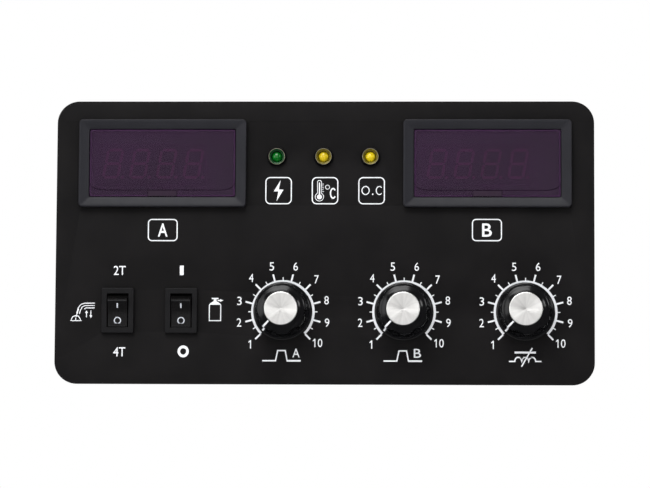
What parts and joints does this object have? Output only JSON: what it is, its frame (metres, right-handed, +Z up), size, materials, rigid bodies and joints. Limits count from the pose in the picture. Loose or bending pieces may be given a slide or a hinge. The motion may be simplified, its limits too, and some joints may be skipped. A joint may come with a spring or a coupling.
{
  "type": "welding machine control panel",
  "caption": "Front control panel of a TIG welding machine: black plate with digital meters, lamps, rocker switches and dial knobs on potentiometers, with its electronics behind.",
  "frame": {"origin": "centre of the seating plane, the rear face of the gasket, where the panel meets the machine's front", "axes": "+X to the operator's right, +Y into the machine, +Z up; the front faces -Y"},
  "size_m": [0.25, 0.04, 0.132],
  "materials": {
    "panel_paint": "satin black baked enamel on steel sheet, with printed white legends",
    "gasket_rubber": "closed-cell black sponge rubber with cut edges",
    "meter_plastic": "fine satin moulded dark grey plastic",
    "violet_filter": "polished dark violet acrylic filter",
    "display_face": "smooth dark grey display face with paler segments",
    "circuit_board": "glossy green solder mask on glass-epoxy board",
    "header_plastic": "natural moulded nylon",
    "clip_plastic": "moulded black plastic",
    "black_chrome": "dark bright plating with a polished rim and cup",
    "green_lens": "polished tinted epoxy",
    "yellow_lens": "polished tinted epoxy",
    "nickel_plate": "bright nickel on steel, with machining marks",
    "switch_plastic": "fine satin moulded black plastic",
    "rocker_plastic": "semi-gloss moulded black plastic with white marks",
    "contact_brass": "stamped brass, lightly tarnished",
    "pot_steel": "pressed and plated steel can",
    "phenolic": "punched paper laminate with tinned lugs",
    "shaft_aluminium": "turned, with fine tool marks",
    "knob_black": "polished moulded black plastic with a white pointer",
    "spun_aluminium": "spun in rings, so that light makes radial fans",
    "nylon": "natural moulded nylon"
  },
  "bodies": {
    "panel": {"front_plate": "panel_paint", "rear_gasket": "gasket_rubber", "control_board": "circuit_board", "control_board_header": "header_plastic", "board_spacer_left": "nylon", "board_spacer_right": "nylon", "meter_a_case": "meter_plastic", "meter_a_window": "violet_filter", "meter_a_display": "display_face", "meter_a_board": "circuit_board", "meter_a_header": "header_plastic", "meter_a_clip_left": "clip_plastic", "meter_a_clip_right": "clip_plastic", "meter_b_case": "meter_plastic", "meter_b_window": "violet_filter", "meter_b_display": "display_face", "meter_b_board": "circuit_board", "meter_b_header": "header_plastic", "meter_b_clip_left": "clip_plastic", "meter_b_clip_right": "clip_plastic", "power_lamp_holder": "black_chrome", "power_led": "green_lens", "power_lamp_nut": "nickel_plate", "heat_lamp_holder": "black_chrome", "heat_led": "yellow_lens", "heat_lamp_nut": "nickel_plate", "current_lamp_holder": "black_chrome", "current_led": "yellow_lens", "current_lamp_nut": "nickel_plate", "trigger_switch_housing": "switch_plastic", "trigger_switch_common_terminal": "contact_brass", "trigger_switch_contact_terminal": "contact_brass", "gas_switch_housing": "switch_plastic", "gas_switch_common_terminal": "contact_brass", "gas_switch_contact_terminal": "contact_brass", "pot_a_body": "pot_steel", "pot_a_tongue": "phenolic", "pot_a_washer": "nickel_plate", "pot_a_nut": "nickel_plate", "pot_b_body": "pot_steel", "pot_b_tongue": "phenolic", "pot_b_washer": "nickel_plate", "pot_b_nut": "nickel_plate", "pot_c_body": "pot_steel", "pot_c_tongue": "phenolic", "pot_c_washer": "nickel_plate", "pot_c_nut": "nickel_plate"},
    "knob_a_turns": {"knob_a": "knob_black", "knob_a_cap": "spun_aluminium", "pot_a_shaft": "shaft_aluminium"},
    "knob_b_turns": {"knob_b": "knob_black", "knob_b_cap": "spun_aluminium", "pot_b_shaft": "shaft_aluminium"},
    "knob_c_turns": {"knob_c": "knob_black", "knob_c_cap": "spun_aluminium", "pot_c_shaft": "shaft_aluminium"},
    "trigger_switch_rocks": {"trigger_switch_rocker": "rocker_plastic"},
    "trigger_switch_contact": {"trigger_switch_lever": "contact_brass"},
    "gas_switch_rocks": {"gas_switch_rocker": "rocker_plastic"},
    "gas_switch_contact": {"gas_switch_lever": "contact_brass"}
  },
  "joints": [
    {"name": "knob_a_turn", "type": "hinge", "parent": "panel", "child": "knob_a_turns", "pos_m": [-0.01925, 0, -0.0321], "axis": [0, 1, 0], "range_deg": [0, 270]},
    {"name": "knob_b_turn", "type": "hinge", "parent": "panel", "child": "knob_b_turns", "pos_m": [0.03685, 0, -0.0321], "axis": [0, 1, 0], "range_deg": [0, 270]},
    {"name": "knob_c_turn", "type": "hinge", "parent": "panel", "child": "knob_c_turns", "pos_m": [0.09295, 0, -0.0321], "axis": [0, 1, 0], "range_deg": [0, 270]},
    {"name": "trigger_switch_rock", "type": "hinge", "parent": "panel", "child": "trigger_switch_rocks", "pos_m": [-0.0957, -0.00145, -0.0321], "axis": [-1, 0, 0], "range_deg": [0, 24]},
    {"name": "gas_switch_rock", "type": "hinge", "parent": "panel", "child": "gas_switch_rocks", "pos_m": [-0.0662, -0.00145, -0.0321], "axis": [-1, 0, 0], "range_deg": [0, 24]},
    {"name": "trigger_switch_contact_tilt", "type": "hinge", "parent": "panel", "child": "trigger_switch_contact", "pos_m": [-0.0957, 0.00315, -0.0321], "axis": [1, 0, 0], "range_deg": [0, 18]},
    {"name": "gas_switch_contact_tilt", "type": "hinge", "parent": "panel", "child": "gas_switch_contact", "pos_m": [-0.0662, 0.00315, -0.0321], "axis": [1, 0, 0], "range_deg": [0, 18]}
  ],
  "couplings": [
    {"joint": "trigger_switch_contact_tilt", "follows": "trigger_switch_rock", "ratio": 0.75},
    {"joint": "gas_switch_contact_tilt", "follows": "gas_switch_rock", "ratio": 0.75}
  ]
}
